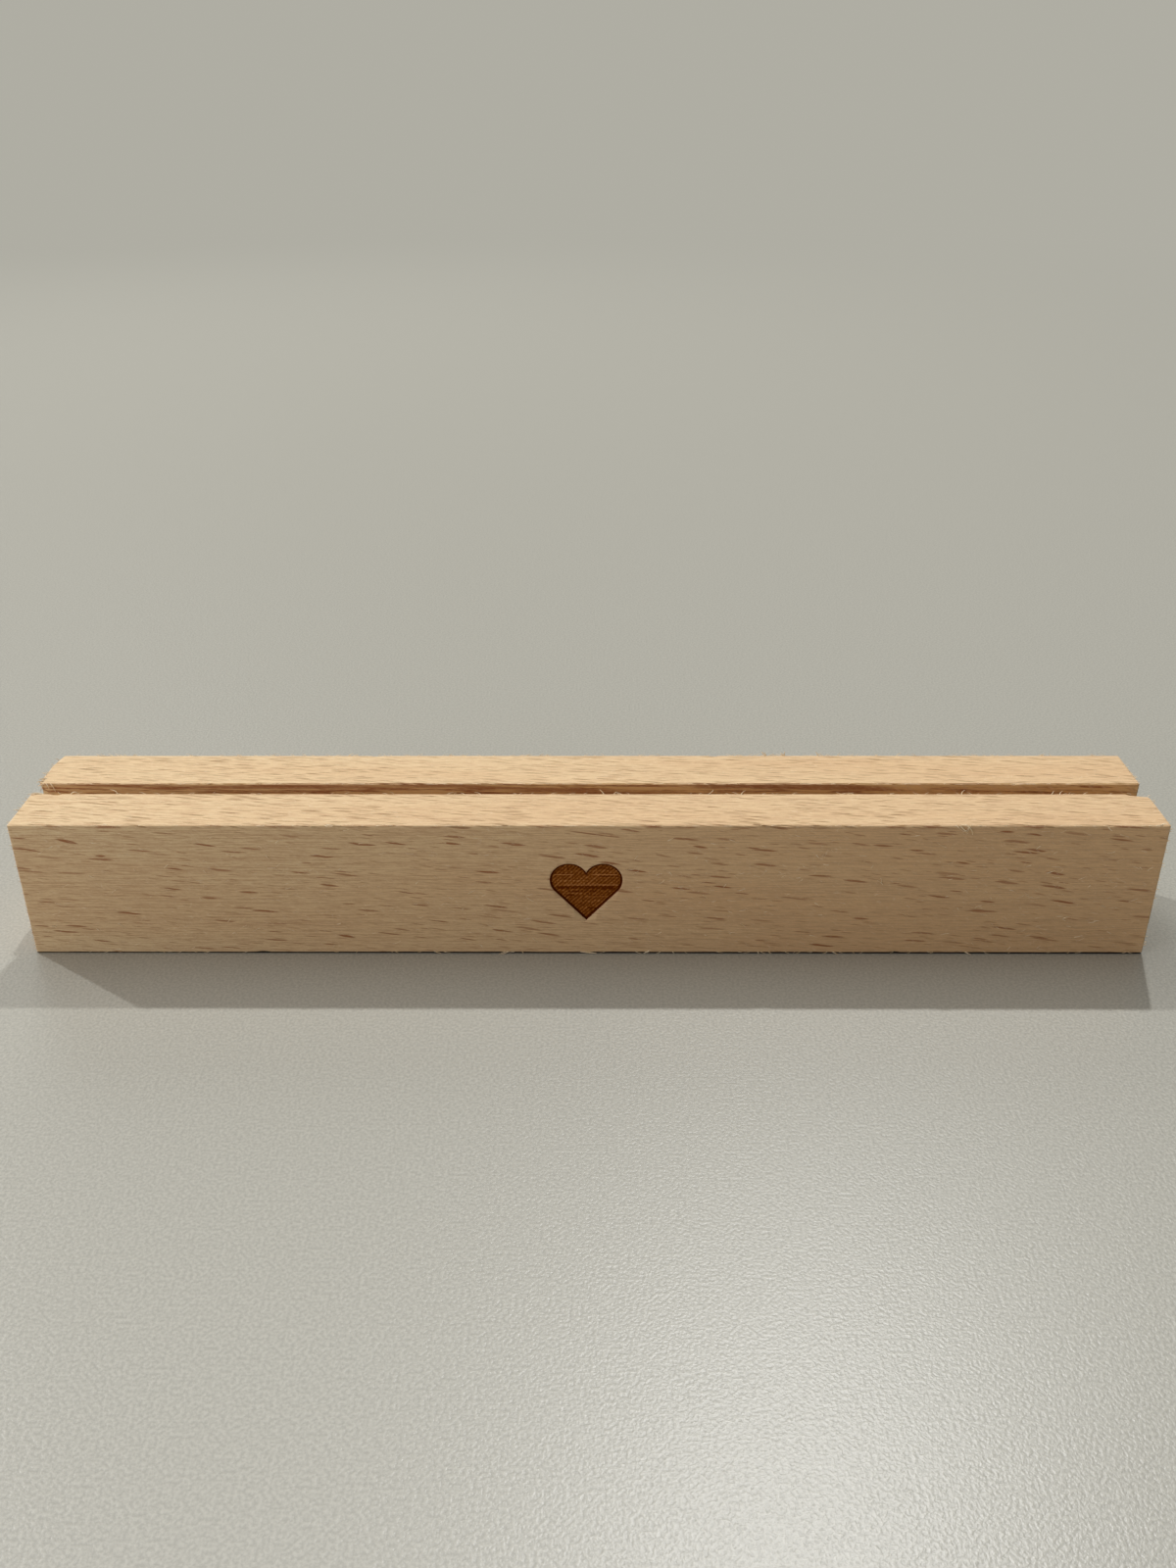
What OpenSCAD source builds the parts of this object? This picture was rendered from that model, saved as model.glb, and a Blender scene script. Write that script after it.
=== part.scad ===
// Place card holder: one bar of solid beech. A saw cut along the middle of its top holds the
// card upright, and a small heart is burnt into the middle of its front face.
// All sizes are in millimetres. X runs along the bar, its front faces -Y, and Z is up.
// The origin is the middle of the underside.

/* [Bar] */
// Length of the bar
bar_l = 150; // [60:1:300]
// Width of the bar from front to back
bar_w = 20; // [16:0.5:40]
// Height of the bar
bar_h = 20; // [16:0.5:40]
// Width of the flat sanded on each outer edge, measured along either face
edge_flat = 0.2; // [0.1:0.05:1]

/* [Card slot] */
// Width of the slot, which is one saw cut
slot_w = 2.8; // [1.6:0.1:5]
// Depth of the slot below the top of the bar
slot_depth = 10; // [4:0.5:12]
// How far the slot's centre line lies behind the middle of the bar
slot_shift = 0; // [-2:0.1:2]
// Width of the flat sanded on each edge of the slot's mouth
mouth_flat = 0.1; // [0.05:0.05:0.5]

/* [Heart] */
// Overall width of the heart
heart_w = 9.6; // [6:0.1:11]
// Overall height of the heart
heart_h = 8.8; // [7:0.1:12]
// How far the heart's centre lies to the right of the middle of the front face
heart_shift_x = -0.15; // [-5:0.05:5]
// How far the heart's centre lies above the middle of the front face
heart_shift_z = -0.15; // [-1:0.05:1]
// Depth of the burnt field below the front face
field_depth = 0.15; // [0.1:0.05:1]
// Width of the darker outline round the field
outline_w = 0.25; // [0.1:0.05:0.6]
// Depth of the outline's groove below the field
groove_depth = 0.1; // [0.05:0.05:0.5]
// Thickness of the charred skin under the groove
char_t = 0.1; // [0.05:0.05:0.5]

/* [Hidden] */
$fn = 96;

// How far a cut runs past the face that it opens
overrun = 1;

// Radius of a lobe of the heart, as a share of the heart's width
lobe_share = 0.266;
lobe_r = lobe_share * heart_w;
// Centre of a lobe, measured from the heart's centre line
lobe_x = heart_w / 2 - lobe_r;
// The heart's outline is drawn with the line through its lobe centres at zero
tip_drop = heart_h - lobe_r;
notch_rise = sqrt(lobe_r * lobe_r - lobe_x * lobe_x);
// Angle between the heart's centre line and the straight side that runs up from its tip
tip_angle = atan2(lobe_x, tip_drop) + asin(lobe_r / norm([lobe_x, tip_drop]));

// Depth of the pocket that the charred skin lines
pocket_depth = field_depth + groove_depth + char_t;
front_y = -bar_w / 2;
heart_z = bar_h / 2 + heart_shift_z + heart_h / 2 - lobe_r;

// A rectangle centred on the origin whose corners are cut off at 45 degrees
module flatted_rectangle(w, h, flat) {
    polygon([
        for (c = [[1, 1], [-1, 1], [-1, -1], [1, -1]])
            let (
                side = [c[0] * w / 2, c[1] * (h / 2 - flat)],
                end = [c[0] * (w / 2 - flat), c[1] * h / 2]
            )
            each c[0] * c[1] > 0 ? [side, end] : [end, side]
    ]);
}

// The bar with a flat on each of its twelve edges
module bar() {
    intersection() {
        translate([-bar_l / 2, 0, bar_h / 2])
            rotate([90, 0, 90])
                linear_extrude(bar_l) flatted_rectangle(bar_w, bar_h, edge_flat);
        translate([0, bar_w / 2, bar_h / 2])
            rotate([90, 0, 0])
                linear_extrude(bar_w) flatted_rectangle(bar_l, bar_h, edge_flat);
        linear_extrude(bar_h) flatted_rectangle(bar_l, bar_w, edge_flat);
    }
}

// The saw cut that takes the card, open at the top and at both ends
module slot_cut() {
    mouth_w = slot_w + 2 * mouth_flat;
    translate([-bar_l / 2 - overrun, slot_shift, bar_h])
        rotate([90, 0, 90])
            linear_extrude(bar_l + 2 * overrun)
                polygon([
                    [-slot_w / 2, -slot_depth],
                    [slot_w / 2, -slot_depth],
                    [slot_w / 2, -mouth_flat],
                    [mouth_w / 2, 0],
                    [mouth_w / 2, overrun],
                    [-mouth_w / 2, overrun],
                    [-mouth_w / 2, 0],
                    [-slot_w / 2, -mouth_flat]
                ]);
}

// Points of the notch between the lobes, from right to left. On an inset heart the notch is
// blunt, because its edge keeps the same distance from the sharp notch outside it.
function notch_points(inset) =
    let (keep = (lobe_r - inset) / lobe_r)
    inset == 0
        ? [[0, notch_rise]]
        : [
            [lobe_x * (1 - keep), notch_rise * keep],
            [0, notch_rise - inset],
            [-lobe_x * (1 - keep), notch_rise * keep]
        ];

// The heart's outline, drawn in by inset all the way round
module heart_outline(inset = 0) {
    r = lobe_r - inset;
    touch = [lobe_x + r * cos(tip_angle), -r * sin(tip_angle)];
    for (side = [-1, 1])
        translate([side * lobe_x, 0]) circle(r);
    polygon(concat(
        [[0, inset / sin(tip_angle) - tip_drop], touch, [lobe_x, 0]],
        notch_points(inset),
        [[-lobe_x, 0], [-touch[0], touch[1]]]
    ));
}

// A heart-shaped plate whose back lies on the pocket's floor and whose front faces -Y
module heart_plate(thickness, inset = 0) {
    translate([heart_shift_x, front_y + pocket_depth, heart_z])
        rotate([90, 0, 0])
            linear_extrude(thickness) heart_outline(inset);
}

// The beech bar with its card slot and the pocket of the engraving
module holder_block() {
    color("burlywood")
        difference() {
            bar();
            slot_cut();
            heart_plate(pocket_depth + overrun);
        }
}

// The charred skin that lines the pocket: a raised field inside the deeper outline groove
module heart_burn() {
    color("saddlebrown")
        union() {
            heart_plate(char_t);
            heart_plate(char_t + groove_depth, outline_w);
        }
}

holder_block();
heart_burn();
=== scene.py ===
"""Place card holder: a square beech bar with a card slot sawn along its top and a small heart
burnt into its front. X runs along the bar, its front faces -Y, Z is up, and the origin is the
middle of its underside. All lengths below are metres unless a name ends in _mm."""

import math
import random

import bmesh
import bpy
from bpy.props import FloatProperty, FloatVectorProperty, IntProperty, PointerProperty
from mathutils import Matrix, Vector, noise


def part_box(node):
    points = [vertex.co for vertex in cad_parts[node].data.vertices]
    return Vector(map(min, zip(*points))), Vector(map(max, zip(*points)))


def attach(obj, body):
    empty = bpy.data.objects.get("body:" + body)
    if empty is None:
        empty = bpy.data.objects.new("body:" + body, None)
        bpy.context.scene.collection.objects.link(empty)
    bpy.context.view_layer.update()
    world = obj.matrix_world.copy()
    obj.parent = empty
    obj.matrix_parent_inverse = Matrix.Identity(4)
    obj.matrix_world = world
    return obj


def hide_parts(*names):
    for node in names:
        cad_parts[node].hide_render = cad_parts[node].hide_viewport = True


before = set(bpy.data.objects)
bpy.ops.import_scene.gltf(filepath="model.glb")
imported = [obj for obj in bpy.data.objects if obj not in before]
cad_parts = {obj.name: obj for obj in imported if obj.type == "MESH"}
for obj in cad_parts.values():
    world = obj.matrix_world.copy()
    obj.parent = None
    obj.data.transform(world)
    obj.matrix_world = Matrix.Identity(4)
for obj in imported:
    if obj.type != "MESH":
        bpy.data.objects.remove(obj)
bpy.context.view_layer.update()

bl_info = {
    "name": "Place card holder",
    "version": (1, 0, 0),
    "blender": (4, 5, 0),
    "location": "3D View > Sidebar > Card holder",
    "description": "Makes a sawn beech place card holder with a burnt heart, and its stage",
    "category": "Add Mesh",
}

BAR_LOW, BAR_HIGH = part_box("holder_block")
HEART_LOW, HEART_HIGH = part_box("heart_burn")
MM = 0.001


# Sizes and colours that a user would change

def place_of(name, default, description, **limits):
    """A position property in metres, which may lie on either side of the middle."""
    return FloatProperty(
        name=name, default=default, description=description,
        subtype="DISTANCE", unit="LENGTH", precision=5, **limits)


def length_of(name, default, description):
    """A length property in metres."""
    return place_of(name, default, description, min=0.0)


def colour_of(name, default, description):
    """A colour property in linear RGB."""
    return FloatVectorProperty(
        name=name, default=default, description=description,
        subtype="COLOR", size=3, min=0.0, max=1.0)


def strength_of(name, default, description):
    """A property for the strength of a light."""
    return FloatProperty(name=name, default=default, description=description, min=0.0)


def count_of(name, default, description, low=0, high=1000):
    """A property for how many of something there are."""
    return IntProperty(
        name=name, default=default, description=description, min=low, max=high)


class CARDHOLDER_PG_bar(bpy.types.PropertyGroup):
    """Sizes of the beech bar."""

    length: length_of("Length", BAR_HIGH.x - BAR_LOW.x, "Length of the bar")
    width: length_of("Width", BAR_HIGH.y - BAR_LOW.y, "Width of the bar from front to back")
    height: length_of("Height", BAR_HIGH.z - BAR_LOW.z, "Height of the bar")
    slot_width: length_of("Slot width", 2.8 * MM, "Width of the saw cut that takes the card")
    slot_depth: length_of("Slot depth", 10 * MM, "Depth of the saw cut below the top")
    edge: length_of("Edge", 0.2 * MM, "Width of the softened edges")
    wear: length_of("Edge wear", 0.21 * MM, "How deep the small nicks along the edges go")
    saw_mark: length_of("Saw marks", 0.035 * MM, "Depth of the marks that the saw left")
    saw_pitch: length_of("Saw mark pitch", 1.9 * MM, "Distance between two saw marks")
    saw_radius: length_of("Saw blade radius", 40 * MM, "Radius of the blade that cut the slot")
    columns: count_of(
        "Columns", 390, "How many rows of faces the bar has along its length", 50, 600)


class CARDHOLDER_PG_heart(bpy.types.PropertyGroup):
    """Sizes of the burnt heart."""

    width: length_of("Width", HEART_HIGH.x - HEART_LOW.x, "Overall width of the heart")
    height: length_of("Height", HEART_HIGH.z - HEART_LOW.z, "Overall height of the heart")
    middle_x: place_of(
        "Middle", (HEART_LOW.x + HEART_HIGH.x) / 2, "Where the middle of the heart lies")
    top_z: place_of("Top", HEART_HIGH.z, "Height of the top of the heart")
    back_y: place_of("Back", HEART_HIGH.y, "Where the floor of the heart's pocket lies")
    lobe_share: FloatProperty(
        name="Lobe share", default=0.266, min=0.2, max=0.3,
        description="Radius of a lobe as a share of the heart's width")
    outline: length_of("Outline", 0.25 * MM, "Width of the darker outline")
    field_depth: length_of("Field depth", 0.15 * MM, "Depth of the burnt field")
    groove_depth: length_of("Groove depth", 0.1 * MM, "Depth of the outline below the field")
    margin: length_of("Margin", 0.02 * MM, "Width of the charred edge of the field")
    hatch_pitch: length_of("Hatch pitch", 0.407 * MM, "Distance between two burnt lines")
    hatch_depth: length_of("Hatch depth", 0.05 * MM, "Depth of the burnt lines")


class CARDHOLDER_PG_wood(bpy.types.PropertyGroup):
    """Colours of the wood."""

    pale: colour_of("Pale wood", (0.795, 0.604, 0.358), "Between the darker streaks")
    warm: colour_of("Warm wood", (0.735, 0.485, 0.262), "In the warmer patches")
    streak: colour_of("Streaks", (0.590, 0.378, 0.210), "Darker streaks along the fibres")
    ray: colour_of("Ray flecks", (0.345, 0.140, 0.056), "Spindle-shaped flecks of the rays")
    dash: colour_of("Ray dashes", (0.310, 0.180, 0.075), "Thin dashes of the rays on the top")
    # Darker and browner than planed wood: partly sawn wood, partly painted shade in the slot
    sawn_and_slot_shade: colour_of("Sawn wood", (0.755, 0.500, 0.228), "On the walls of the slot")
    end: colour_of("End grain", (0.560, 0.350, 0.165), "On the sawn ends")
    fibre: colour_of("Raised fibres", (0.900, 0.770, 0.560), "Fibres that stand off the wood")
    burnt: colour_of("Burnt wood", (0.520, 0.225, 0.075), "On the palest ridges of the heart")
    scorched: colour_of("Scorched wood", (0.300, 0.098, 0.014), "On most ridges of the heart")
    singed: colour_of("Burnt lines", (0.110, 0.020, 0.001), "In the lines of the burnt field")
    charred: colour_of("Charred wood", (0.130, 0.020, 0.001), "In the outline of the heart")


class CARDHOLDER_PG_fibres(bpy.types.PropertyGroup):
    """Sizes and numbers of the fibres that stand off the wood."""

    thickness: length_of("Thickness", 0.1 * MM, "Thickness of a fibre at its root")
    edge_count: count_of("Edge fibres", 420, "How many small fibres stand along the long edges")
    end_count: count_of("End fibres", 170, "How many small fibres stand round the sawn ends")
    face_count: count_of("Face fibres", 420, "How many short fibres lie on the faces")


class CARDHOLDER_PG_stage(bpy.types.PropertyGroup):
    """The floor and the light."""

    floor: colour_of("Floor", (0.420, 0.412, 0.360), "Colour of the plain floor")
    backdrop: colour_of("Backdrop", (0.430, 0.420, 0.367), "How the far floor and its rim look")
    key: strength_of("Key lights", 1.0, "Strength of each of the two lamps behind the bar")
    softbox: strength_of("Softbox", 6.6, "Power of the lamp above the bar")
    back: strength_of("Back light", 3.6, "Power of the low lamp at the back")
    fill: strength_of("Fill", 0.475, "Power of the lamp at the left front")
    sky: strength_of("Room light", 0.090, "Strength of the light all round")


class CARDHOLDER_PG_settings(bpy.types.PropertyGroup):
    """Everything that shapes the card holder and its stage."""

    bar: PointerProperty(type=CARDHOLDER_PG_bar)
    heart: PointerProperty(type=CARDHOLDER_PG_heart)
    wood: PointerProperty(type=CARDHOLDER_PG_wood)
    fibres: PointerProperty(type=CARDHOLDER_PG_fibres)
    stage: PointerProperty(type=CARDHOLDER_PG_stage)


# Materials

class Value:
    """A number that a socket of a material gives. Arithmetic on it adds Math nodes."""

    def __init__(self, graph, socket):
        self.graph, self.socket = graph, socket

    def __add__(self, other):
        return self.graph.math("ADD", self, other)

    __radd__ = __add__

    def __sub__(self, other):
        return self.graph.math("SUBTRACT", self, other)

    def __rsub__(self, other):
        return self.graph.math("SUBTRACT", other, self)

    def __mul__(self, other):
        return self.graph.math("MULTIPLY", self, other)

    __rmul__ = __mul__

    def __truediv__(self, other):
        return self.graph.math("DIVIDE", self, other)

    def __rtruediv__(self, other):
        return self.graph.math("DIVIDE", other, self)

    def __abs__(self):
        return self.graph.math("ABSOLUTE", self)


class Graph:
    """The nodes of one material."""

    def __init__(self, name):
        self.material = bpy.data.materials.new(name)
        self.material.use_nodes = True
        self.tree = self.material.node_tree
        self.tree.nodes.clear()

    def add(self, kind, settings=None, sockets=None, output=0):
        """Adds a node, with its settings first and then its sockets. Gives the output asked
        for, or a list of outputs where a tuple of them is asked for."""
        node = self.tree.nodes.new(kind)
        for name, setting in (settings or {}).items():
            setattr(node, name, setting)
        for name, value in (sockets or {}).items():
            if isinstance(value, Value):
                self.tree.links.new(value.socket, node.inputs[name])
            else:
                node.inputs[name].default_value = value
        if isinstance(output, tuple):
            return [Value(self, node.outputs[item]) for item in output]
        return Value(self, node.outputs[output])

    def math(self, operation, *numbers):
        """A Math node on one, two or three numbers."""
        return self.add(
            "ShaderNodeMath", {"operation": operation}, dict(enumerate(numbers)))

    def largest(self, first, *others):
        """The largest of some numbers."""
        for other in others:
            first = self.math("MAXIMUM", first, other)
        return first

    def vector(self, x=0.0, y=0.0, z=0.0):
        """A vector of three numbers."""
        return self.add("ShaderNodeCombineXYZ", None, {0: x, 1: y, 2: z})

    def noise(self, place, detail=2.0, roughness=0.5, scale=1.0, distortion=0.0):
        """Soft noise from 0 to 1 at a place."""
        return self.add(
            "ShaderNodeTexNoise", {"noise_dimensions": "3D"},
            {"Vector": place, "Scale": scale, "Detail": detail, "Roughness": roughness,
             "Distortion": distortion})

    def smooth(self, value, low, high, start=0.0, end=1.0):
        """Goes smoothly from start to end while value goes from low to high."""
        return self.add(
            "ShaderNodeMapRange", {"interpolation_type": "SMOOTHSTEP"},
            {"Value": value, "From Min": low, "From Max": high, "To Min": start, "To Max": end})

    def layers(self, *rows):
        """Adds up layers. Each is a value, where it starts, where it is full and its weight."""
        return sum(self.smooth(value, low, full) * weight for value, low, full, weight in rows)

    def mix(self, factor, first, second):
        """Goes from the first colour to the second as factor goes from 0 to 1."""
        return self.add(
            "ShaderNodeMix", {"data_type": "RGBA"},
            {0: factor, 6: opaque(first), 7: opaque(second)}, output=2)

    def paint(self, colour, *coats):
        """Lays coats over a colour. Each is the share that it covers and its own colour."""
        for share, coat in coats:
            colour = self.mix(share, colour, coat)
        return colour

    def shade(self, colour, level):
        """A colour made lighter or darker by a level."""
        return self.add(
            "ShaderNodeVectorMath", {"operation": "SCALE"}, {0: colour, "Scale": level})

    def finish(self, colour, roughness, height, depth, specular=0.35, backdrop=None):
        """Ends the material in one Principled shader, whose bumps are depth high. A backdrop is
        a plain colour and the share of it that shows instead."""
        bump = self.add(
            "ShaderNodeBump", None,
            {"Strength": 1.0, "Distance": depth, "Height": height})
        shader = self.add(
            "ShaderNodeBsdfPrincipled", None,
            {"Base Color": opaque(colour), "Roughness": roughness, "Normal": bump,
             "Specular IOR Level": specular})
        if backdrop:
            plain = self.add("ShaderNodeEmission", None, {"Color": opaque(backdrop[0])})
            shader = self.add("ShaderNodeMixShader", None, {0: backdrop[1], 1: shader, 2: plain})
        self.add("ShaderNodeOutputMaterial", None, {"Surface": shader}, output=())
        return self.material


def opaque(colour):
    """A plain colour with its alpha, or a linked one as it is."""
    return colour if isinstance(colour, Value) else (*colour[:3], 1.0)


# The heart of the tree lies behind and below the bar, so its rings cross both the front and the
# top at a slant, and its rays cut both faces in short flecks.
PITH_DISTANCE_MM, PITH_DIP = 90.0, math.radians(66)
PITH_Y_MM = PITH_DISTANCE_MM * math.cos(PITH_DIP)
PITH_Z_MM = 10.0 - PITH_DISTANCE_MM * math.sin(PITH_DIP)
# How far the rings and the rays stray from true circles and straight lines
RING_STRAY_MM, RAY_STRAY_MM = 3.0, 2.0
# How far the fibres fall for each length that they run to the right
FALL = 0.07
RING_MM = 2.4
# How far each row of streaks or flecks is slid along the bar, as a share of their length
ROW_SLIDE = 0.38
# The power in the distance that shapes a ray: 1 would give a diamond and 2 an oval
SPINDLE_POWER = 1.45


class Tree:
    """Where a point lies in the tree that the bar was sawn from, in millimetres."""

    def __init__(self, graph):
        self.graph = graph
        object_place = graph.add("ShaderNodeTexCoord", output="Object")
        place = graph.add(
            "ShaderNodeVectorMath", {"operation": "SCALE"},
            {0: object_place, "Scale": 1 / MM})
        self.x, self.y, self.z = graph.add(
            "ShaderNodeSeparateXYZ", None, {0: place}, output=(0, 1, 2))
        y, z = self.y - PITH_Y_MM, self.z + self.x * FALL - PITH_Z_MM
        self.wander = self.noise(0.02, 0.03, 0.03, detail=1) - 0.5
        self.out = graph.math("SQRT", y * y + z * z) + self.wander * RING_STRAY_MM
        self.round = (
            graph.math("ARCTAN2", z, y) * -PITH_DISTANCE_MM + self.wander * RAY_STRAY_MM)

    def noise(self, x, y, z, detail=2.0, roughness=0.5, shift=0.0):
        """Noise with so many waves in a millimetre along each axis, slid along x."""
        return self.graph.noise(
            self.graph.vector(self.x * x + shift, self.y * y, self.z * z), detail, roughness)

    def fibres(self, along, across, detail=2.0, roughness=0.5):
        """Noise drawn out along the fibres, with so many waves in a millimetre each way. Each
        row starts elsewhere along the bar, so the rows don't line up."""
        slide = (self.y + self.z) * (across * ROW_SLIDE)
        return self.noise(along, across, across, detail, roughness, slide)

    def rays(self, length_mm, thickness_mm, largest, share, shift=0.0, lean=0.0):
        """Spindles in cells of that size, drawn out along the fibres. A spindle reaches at most
        so far across its cell, and only a share of the cells have one. A lean turns them all."""
        graph = self.graph
        sway = self.noise(0.25, 1.5, 1.5, detail=1, shift=shift) - 0.5
        turned = self.round + self.x * lean
        row = (turned + sway * thickness_mm * 0.5) / thickness_mm + shift * 3
        place = graph.vector(self.x / length_mm + row * ROW_SLIDE, row, 0.0)
        reach, dice = graph.add(
            "ShaderNodeTexVoronoi",
            {"voronoi_dimensions": "2D", "feature": "F1", "distance": "MINKOWSKI"},
            {"Vector": place, "Scale": 1.0, "Exponent": SPINDLE_POWER},
            output=("Distance", "Color"))
        chance, size, depth = graph.add(
            "ShaderNodeSeparateColor", None, {0: dice}, output=(0, 1, 2))
        there = graph.math("LESS_THAN", chance, share)
        edge = (size * 0.6 + 0.4) * largest
        return graph.smooth(reach / edge, 1.0, 0.62) * there * (depth * 0.6 + 0.4)

    def lint(self):
        """Tiny hairs that lie across the fibres, from 0 to 1."""
        graph = self.graph
        along = self.x * 0.87 - (self.y + self.z) * 0.5
        across = (self.y + self.z) * 0.87 + self.x * 0.5
        hairs = graph.noise(graph.vector(along * 1.1, across * 4.2, 0.0), detail=1)
        curls = graph.noise(
            graph.vector(along * 2.6, across * 1.2, 4.0), detail=1, distortion=1.2)
        places = self.noise(0.12, 0.2, 0.2, detail=1)
        both = graph.largest(graph.smooth(hairs, 0.60, 0.74), graph.smooth(curls, 0.68, 0.78))
        return both * graph.smooth(places, 0.30, 0.70, 0.35, 1.0)

    def edge_bands(self, bar, width_mm):
        """Two masks: 1 within a small width of the long edges and of the slot's mouth, and 1
        within a small width of the edges round the ends."""
        graph = self.graph
        half_l, half_w, half_h = bar.length / MM / 2, bar.width / MM / 2, bar.height / MM / 2

        def beyond(value, limit):
            return graph.smooth(abs(value), limit - width_mm, limit - 0.02)

        along, across, up = (
            beyond(self.x, half_l), beyond(self.y, half_w), beyond(self.z - half_h, half_h))
        slot = bar.slot_width / MM / 2
        mouth = graph.smooth(abs(self.y), slot + width_mm, slot + 0.02)
        sides = graph.largest(across, mouth)
        return sides * up, graph.largest(sides, up) * along


# The boldest flecks of the front: middle along x and z, half length and half thickness, all in
# millimetres, how far a fleck falls for each millimetre to the right, and how dark it is
FRONT_FLECKS = (
    (0.9, 18.7, 4.3, 0.12, 0.154, 0.85), (23.9, 19.8, 3.4, 0.11, 0.09, 0.95),
    (-67.6, 17.6, 1.6, 0.28, 0.25, 0.95), (-72.7, 16.3, 1.9, 0.13, 0.22, 0.85),
    (-63.6, 15.4, 0.75, 0.19, 0.05, 0.90), (-58.3, 16.2, 2.0, 0.12, 0.08, 0.85),
    (57.0, 16.0, 2.0, 0.18, 0.09, 0.95), (69.0, 17.9, 1.8, 0.17, 0.13, 0.85),
    (38.3, 17.0, 1.5, 0.19, 0.07, 0.80), (42.8, 16.3, 1.1, 0.17, 0.05, 0.85),
    (30.6, 12.4, 1.8, 0.17, 0.05, 0.85), (54.1, 19.1, 1.1, 0.17, 0.05, 1.00),
    (-17.6, 17.3, 1.3, 0.21, 0.12, 0.90), (-34.1, 10.9, 1.4, 0.18, 0.13, 0.90),
    (-44.9, 9.8, 1.5, 0.20, 0.07, 0.85), (-32.5, 2.8, 1.3, 0.22, 0.17, 0.95),
    (-68.8, 4.4, 1.6, 0.18, 0.07, 0.80), (14.7, 16.8, 1.1, 0.19, 0.16, 0.90),
    (33.0, 2.8, 1.8, 0.19, 0.05, 0.90), (51.9, 6.9, 1.9, 0.16, 0.06, 0.85),
    (36.4, 5.7, 1.3, 0.18, 0.07, 0.85), (60.6, 2.7, 1.5, 0.17, 0.14, 0.85),
    (49.0, 14.4, 1.1, 0.18, 0.14, 0.85), (-50.3, 8.9, 1.2, 0.19, 0.09, 0.80),
)


def front_flecks(graph, tree, bar):
    """The boldest flecks of the front, from 0 to 1."""
    total = 0.0
    for x, z, long, thick, fall, depth in FRONT_FLECKS:
        along = graph.math("MULTIPLY_ADD", tree.x, 1 / long, -x / long)
        up = graph.math("MULTIPLY_ADD", tree.z, 1 / thick, -z / thick)
        off = abs(graph.math("MULTIPLY_ADD", along, fall * long / thick, up))
        reach = graph.math("MULTIPLY_ADD", along, along, off)
        total = graph.smooth(reach, 1.15, 0.5, 0.0, depth) + total
    front = bar.width / MM / -2
    return total * graph.smooth(tree.y, front + 0.8, front + 0.4)


def long_grain(look, bar):
    """Planed beech along the fibres: fine streaks, faint rings and the flecks of the rays, which
    the top cuts in thin dashes."""
    graph = Graph("beech_long_grain")
    tree = Tree(graph)
    long, tall, front_y = bar.length / MM, bar.height / MM, bar.width / MM / -2
    top = graph.smooth(tree.z, tall - 0.5, tall - 0.1)
    # Noise along the fibres, from broad patches to fine hairs and specks
    patches = tree.fibres(0.020, 0.16)
    bands = tree.fibres(0.020, 1.3, roughness=0.6)
    streaks = tree.fibres(0.035, 4.4, roughness=0.65)
    combed = tree.fibres(0.45, 5.5, detail=1)
    hairs = tree.fibres(0.35, 9.0, roughness=0.65)
    specks = tree.fibres(2.2, 7.0, detail=1)
    # The rays, by length and thickness
    large = tree.rays(6.4, 0.30, 0.34, 0.25)
    small = tree.rays(3.4, 0.17, 0.34, 0.34, shift=11.3)
    faint = tree.rays(11.0, 0.22, 0.34, 0.45, shift=5.7)
    dashes = tree.rays(4.6, 0.29, 0.42, 0.55, shift=8.9, lean=0.045) * top
    flecks = graph.largest(
        large * (1.0 - top * 0.4), small * 0.60, dashes, front_flecks(graph, tree, bar))
    # Painted light: the wood is paler on the top, more so at its back, and near the foot.
    # It is warmer and darker to the right: partly its own tone, partly painted shade.
    warmth_and_shade = graph.layers(
        (patches, 0.40, 0.66, 0.3), (tree.x, long * -0.5, long * 0.4, 0.95 - top * 0.50))
    lift = (
        top * (graph.smooth(tree.y, 0.0, 3.0) * 0.15 + 0.46)
        + graph.smooth(tree.z, 6.0, 0.0) * 0.18)
    ring = graph.math("SINE", tree.out * (2 * math.pi / RING_MM)) * 0.5 + 0.5
    dark = graph.layers(
        (streaks, 0.40, 0.62, 0.60), (combed, 0.42, 0.66, 0.38),
        (hairs, 0.42, 0.60, top * 0.45 + 0.72), (specks, 0.40, 0.66, 0.28),
        (bands, 0.38, 0.70, 0.08)) + ring * 0.04 - 0.45 - lift
    # Edges: a brown band, partly wear and partly painted light that shines through the thin wood,
    # and pale arrises round the ends, partly fuzz and partly a painted highlight, stronger
    # at the left. The front's torn upper edge, and lint
    edge, arris = tree.edge_bands(bar, 0.20)
    below = graph.smooth(tree.z, tall - 0.55, tall - 0.25)
    front = graph.smooth(tree.y, front_y + 0.12, front_y + 0.04)
    nibbled = tree.fibres(0.16, 0.9, roughness=0.6)
    torn = tree.fibres(0.45, 0.1, detail=3, roughness=0.75)
    fuzz = graph.largest(tree.lint() * 0.28, edge * graph.smooth(torn, 0.50, 0.64, 0.0, 0.60))
    colour = graph.paint(
        look.pale, (warmth_and_shade, look.warm), (dark, look.streak), (faint * 0.45, look.streak),
        (flecks, graph.mix(top, look.ray, look.dash)), (edge * 0.45, look.end),
        (arris * graph.smooth(tree.x, -1.0, 1.0, 0.85, 0.35), look.fibre),
        (below * front * graph.smooth(nibbled, 0.46, 0.36, 0.0, 0.80), look.ray),
        (fuzz, look.fibre))
    bumps = streaks * 0.5 + hairs * 0.7 + combed * 0.3 - large * 0.3
    return graph.finish(colour, 0.68 - large * 0.12, bumps, 0.05 * MM)


# The blade left plain marks only near this end of the slot
SAW_MARKS_FROM_MM = 36.0


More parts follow.
